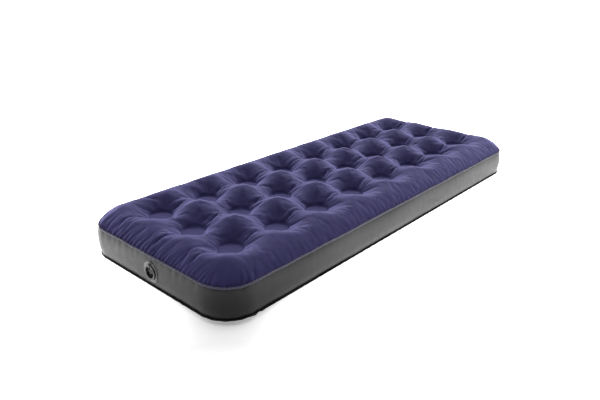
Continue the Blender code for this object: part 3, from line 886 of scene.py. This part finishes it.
def flock_material():
    """Short velvety flock on PVC: matt, with a sheen at grazing angles and a brushed mottle."""
    material, tree, shader = new_material("flock")
    mottle = object_noise(tree, 14.0, 4.0)
    colour = ramp(tree, mottle, [(0.30, (0.018, 0.0160, 0.058)), (0.70, (0.026, 0.0225, 0.080))])
    fibres = object_noise(tree, 1400.0, 2.0)
    speckle = ramp(tree, fibres, [(0.25, (0.80, 0.80, 0.82)), (0.75, (1.0, 1.0, 1.0))])
    mix = add_node(tree, "ShaderNodeMixRGB", blend_type="MULTIPLY")
    mix.inputs["Fac"].default_value = 1.0
    tree.links.new(colour, mix.inputs["Color1"])
    tree.links.new(speckle, mix.inputs["Color2"])
    tree.links.new(mix.outputs["Color"], shader.inputs["Base Color"])
    rough = value_range(tree, object_noise(tree, 60.0), 0.3, 0.7, 0.82, 0.95)
    tree.links.new(rough, shader.inputs["Roughness"])
    shader.inputs["Specular IOR Level"].default_value = 0.10
    shader.inputs["Sheen Weight"].default_value = 0.66
    shader.inputs["Sheen Roughness"].default_value = 0.38
    shader.inputs["Sheen Tint"].default_value = (0.52, 0.48, 1.0, 1.0)
    bumps(tree, shader, [(object_noise(tree, 220.0, 3.0), 0.25, 0.0006), (fibres, 0.35, 0.00025)])
    return material


def film_material(name, dark, light, roughness, scale=9.0):
    """PVC film: smooth and slightly glossy, with faint waves, scuffs and a pressed grain."""
    material, tree, shader = new_material(name)
    mottle = object_noise(tree, scale, 4.0)
    tree.links.new(ramp(tree, mottle, [(0.3, dark), (0.7, light)]), shader.inputs["Base Color"])
    scuff = object_noise(tree, 45.0, 5.0, 0.65)
    rough = value_range(tree, scuff, 0.3, 0.75, roughness - 0.04, roughness + 0.10)
    tree.links.new(rough, shader.inputs["Roughness"])
    shader.inputs["Specular IOR Level"].default_value = 0.24
    waves = object_noise(tree, 7.0, 2.0)
    grain = object_noise(tree, 900.0, 2.0)
    bumps(tree, shader, [(waves, 0.30, 0.004), (grain, 0.06, 0.0003)])
    return material


def moulded_material(name, dark, light, roughness):
    """Moulded plastic or rubber with a fine spark-eroded grain."""
    material, tree, shader = new_material(name)
    mottle = object_noise(tree, 60.0, 4.0)
    tree.links.new(ramp(tree, mottle, [(0.3, dark), (0.7, light)]), shader.inputs["Base Color"])
    wear = object_noise(tree, 240.0, 4.0)
    rough = value_range(tree, wear, 0.3, 0.7, roughness - 0.05, roughness + 0.08)
    tree.links.new(rough, shader.inputs["Roughness"])
    bumps(tree, shader, [(object_noise(tree, 2600.0, 2.0), 0.12, 0.0002)])
    return material


def set_material(item, material):
    """Give an object one material."""
    item.data.materials.clear()
    item.data.materials.append(material)


def dress_node(name, material):
    """Give a carried-over CAD node its material."""
    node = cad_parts[name]
    for index in range(max(1, len(node.material_slots))):
        if len(node.material_slots) == 0:
            node.data.materials.append(material)
        else:
            node.material_slots[index].material = material


# ---------------------------------------------------------------- stage

CAMERA_AZIMUTH = 42.094
CAMERA_ELEVATION = 22.747
CAMERA_DISTANCE = 2.5299
CAMERA_TARGET = Vector((-0.136, -0.0468, 0.0))
CAMERA_LENS = 34.33
DOME_AXIS = (-0.42, 0.50, 0.76)
DOME_LOW = 0.10
DOME_HIGH = 2.45
DOME_START, DOME_FULL = 0.15, 0.95
# Centre of the painted shadow round the near corner, and the strength of the ground's painted glow beyond
# it.
PAINTED_SHADOW_SPOT = (0.52, -1.08, 0.0)
PAINTED_TABLE_GLOW = 2.2
GLOW_START, GLOW_FULL = 0.18, 0.85
KEY_PLACE = (-2.4, 3.6, 3.0)
KEY_AIM = (0.0, 0.0, 0.1)
KEY_SIZE = 2.2
KEY_POWER = 215.0
GROUND_SIZE = 60.0


def view_back():
    """Direction from the target back to the camera."""
    a = math.radians(CAMERA_AZIMUTH)
    e = math.radians(CAMERA_ELEVATION)
    return Vector((math.sin(a) * math.cos(e), -math.cos(a) * math.cos(e), math.sin(e)))


def make_camera():
    """Camera above the corner between the valve end and a long side."""
    data = bpy.data.cameras.new("camera")
    data.lens = CAMERA_LENS
    data.sensor_width = 36.0
    data.clip_end = 200.0
    camera = bpy.data.objects.new("camera", data)
    bpy.context.scene.collection.objects.link(camera)
    camera.location = CAMERA_TARGET + view_back() * CAMERA_DISTANCE
    camera.rotation_euler = view_back().to_track_quat("Z", "Y").to_euler()
    bpy.context.scene.camera = camera


def make_light(name, place, aim, size, power):
    """Square area light aimed at a point."""
    data = bpy.data.lights.new(name, "AREA")
    data.shape = "SQUARE"
    data.size = size
    data.energy = power
    light = bpy.data.objects.new(name, data)
    bpy.context.scene.collection.objects.link(light)
    light.location = place
    light.rotation_euler = (Vector(place) - Vector(aim)).to_track_quat("Z", "Y").to_euler()


def make_stage():
    """White ground with painted light: it glows as if brightly lit, and the glow dies away round the near
    corner as a painted shadow, under a dome that is bright behind the bed and dark behind the camera."""
    scene = bpy.context.scene
    scene.view_settings.view_transform = "Standard"
    world = bpy.data.worlds.new("studio")
    scene.world = world
    world.use_nodes = True
    tree = world.node_tree
    background = tree.nodes["Background"]
    place = tree.nodes.new("ShaderNodeTexCoord")
    towards = tree.nodes.new("ShaderNodeVectorMath")
    towards.operation = "DOT_PRODUCT"
    towards.inputs[1].default_value = Vector(DOME_AXIS).normalized()
    tree.links.new(place.outputs["Generated"], towards.inputs[0])
    level = value_range(tree, towards.outputs["Value"], DOME_START, DOME_FULL, DOME_LOW, DOME_HIGH)
    tree.links.new(level, background.inputs["Strength"])
    background.inputs["Color"].default_value = (1.0, 1.0, 1.0, 1.0)
    mesh = bpy.data.meshes.new("ground")
    bm = bmesh.new()
    bmesh.ops.create_grid(bm, x_segments=1, y_segments=1, size=GROUND_SIZE)
    bm.to_mesh(mesh)
    bm.free()
    ground = bpy.data.objects.new("ground", mesh)
    scene.collection.objects.link(ground)
    material, tree, shader = new_material("ground")
    shader.inputs["Base Color"].default_value = (0.90, 0.90, 0.905, 1.0)
    shader.inputs["Roughness"].default_value = 0.6
    shader.inputs["Specular IOR Level"].default_value = 0.2
    # Painted light: the ground emits light so that it looks brightly lit and shines into the band's lower
    # half. The emission falls to nothing round the near corner, which paints a contact shadow there.
    shadow_spot = tree.nodes.new("ShaderNodeVectorMath")
    shadow_spot.operation = "DISTANCE"
    shadow_spot.inputs[1].default_value = PAINTED_SHADOW_SPOT
    table_place = tree.nodes.new("ShaderNodeTexCoord")
    tree.links.new(table_place.outputs["Object"], shadow_spot.inputs[0])
    painted_glow = value_range(tree, shadow_spot.outputs["Value"], GLOW_START, GLOW_FULL, 0.0, PAINTED_TABLE_GLOW)
    shader.inputs["Emission Color"].default_value = (1.0, 1.0, 1.0, 1.0)
    tree.links.new(painted_glow, shader.inputs["Emission Strength"])
    set_material(ground, material)
    make_light("key", KEY_PLACE, KEY_AIM, KEY_SIZE, KEY_POWER)


def finish_piece(item, body, material, slot, *nodes):
    """Give a piece its material and body, and hide the CAD nodes that it stands for; slot is not used."""
    set_material(item, material)
    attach(item, body)
    if nodes:
        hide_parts(*nodes)


make_camera()
make_stage()
flock = flock_material()
band_film = film_material("band_film", (0.0040, 0.0040, 0.0046), (0.0062, 0.0062, 0.0072), 0.36)
base_film = film_material("base_film", (0.034, 0.034, 0.036), (0.050, 0.050, 0.053), 0.42)
coil_film = film_material("coil_film", (0.36, 0.39, 0.42), (0.46, 0.49, 0.52), 0.45)
weld_film = film_material("weld_film", (0.030, 0.028, 0.050), (0.060, 0.057, 0.085), 0.45, 120.0)
soft_plastic = moulded_material("soft_plastic", (0.016, 0.016, 0.017), (0.026, 0.026, 0.027), 0.26)
hard_plastic = moulded_material("hard_plastic", (0.006, 0.006, 0.0065), (0.010, 0.010, 0.011), 0.22)
cap_plastic = moulded_material("cap_plastic", (0.026, 0.026, 0.027), (0.038, 0.038, 0.040), 0.24)
rubber = moulded_material("rubber", (0.040, 0.040, 0.040), (0.060, 0.060, 0.060), 0.60)

top_sheet = make_top_sheet()
finish_piece(top_sheet, MATTRESS, flock, "flocked_pvc", "top_panel")
band = make_band()
finish_piece(band, MATTRESS, band_film, "band_pvc", "side_band", "valve_panel")
bottom_sheet = make_bottom_sheet()
finish_piece(bottom_sheet, MATTRESS, base_film, "base_pvc", "bottom_panel")
finish_piece(make_top_weld(), MATTRESS, weld_film, "band_pvc")
finish_piece(make_bottom_weld(), MATTRESS, band_film, "base_pvc")
finish_piece(make_flange(), MATTRESS, soft_plastic, "valve_soft_pvc", "valve_flange")
finish_piece(make_barrel(), MATTRESS, hard_plastic, "valve_plastic", "valve_body")
make_thread("barrel_thread", BORE_RADIUS, -THREAD_HEIGHT, THREAD_LOW, THREAD_HIGH, THREAD_PITCH, 0.0,
            MATTRESS, "valve_plastic")
finish_piece(make_cap(), "screw_cap", cap_plastic, "valve_plastic", "screw_cap")
finish_piece(make_stud(), "screw_cap", hard_plastic, "valve_plastic")
tether = make_tether()
set_material(tether, soft_plastic)
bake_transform(tether)
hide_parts("cap_strap", "strap_eye")
for name in COILS:
    dress_node(name, coil_film)
dress_node("valve_grille", hard_plastic)
dress_node("flap_clip", hard_plastic)
dress_node("cap_seal", rubber)
dress_node("check_flap", rubber)
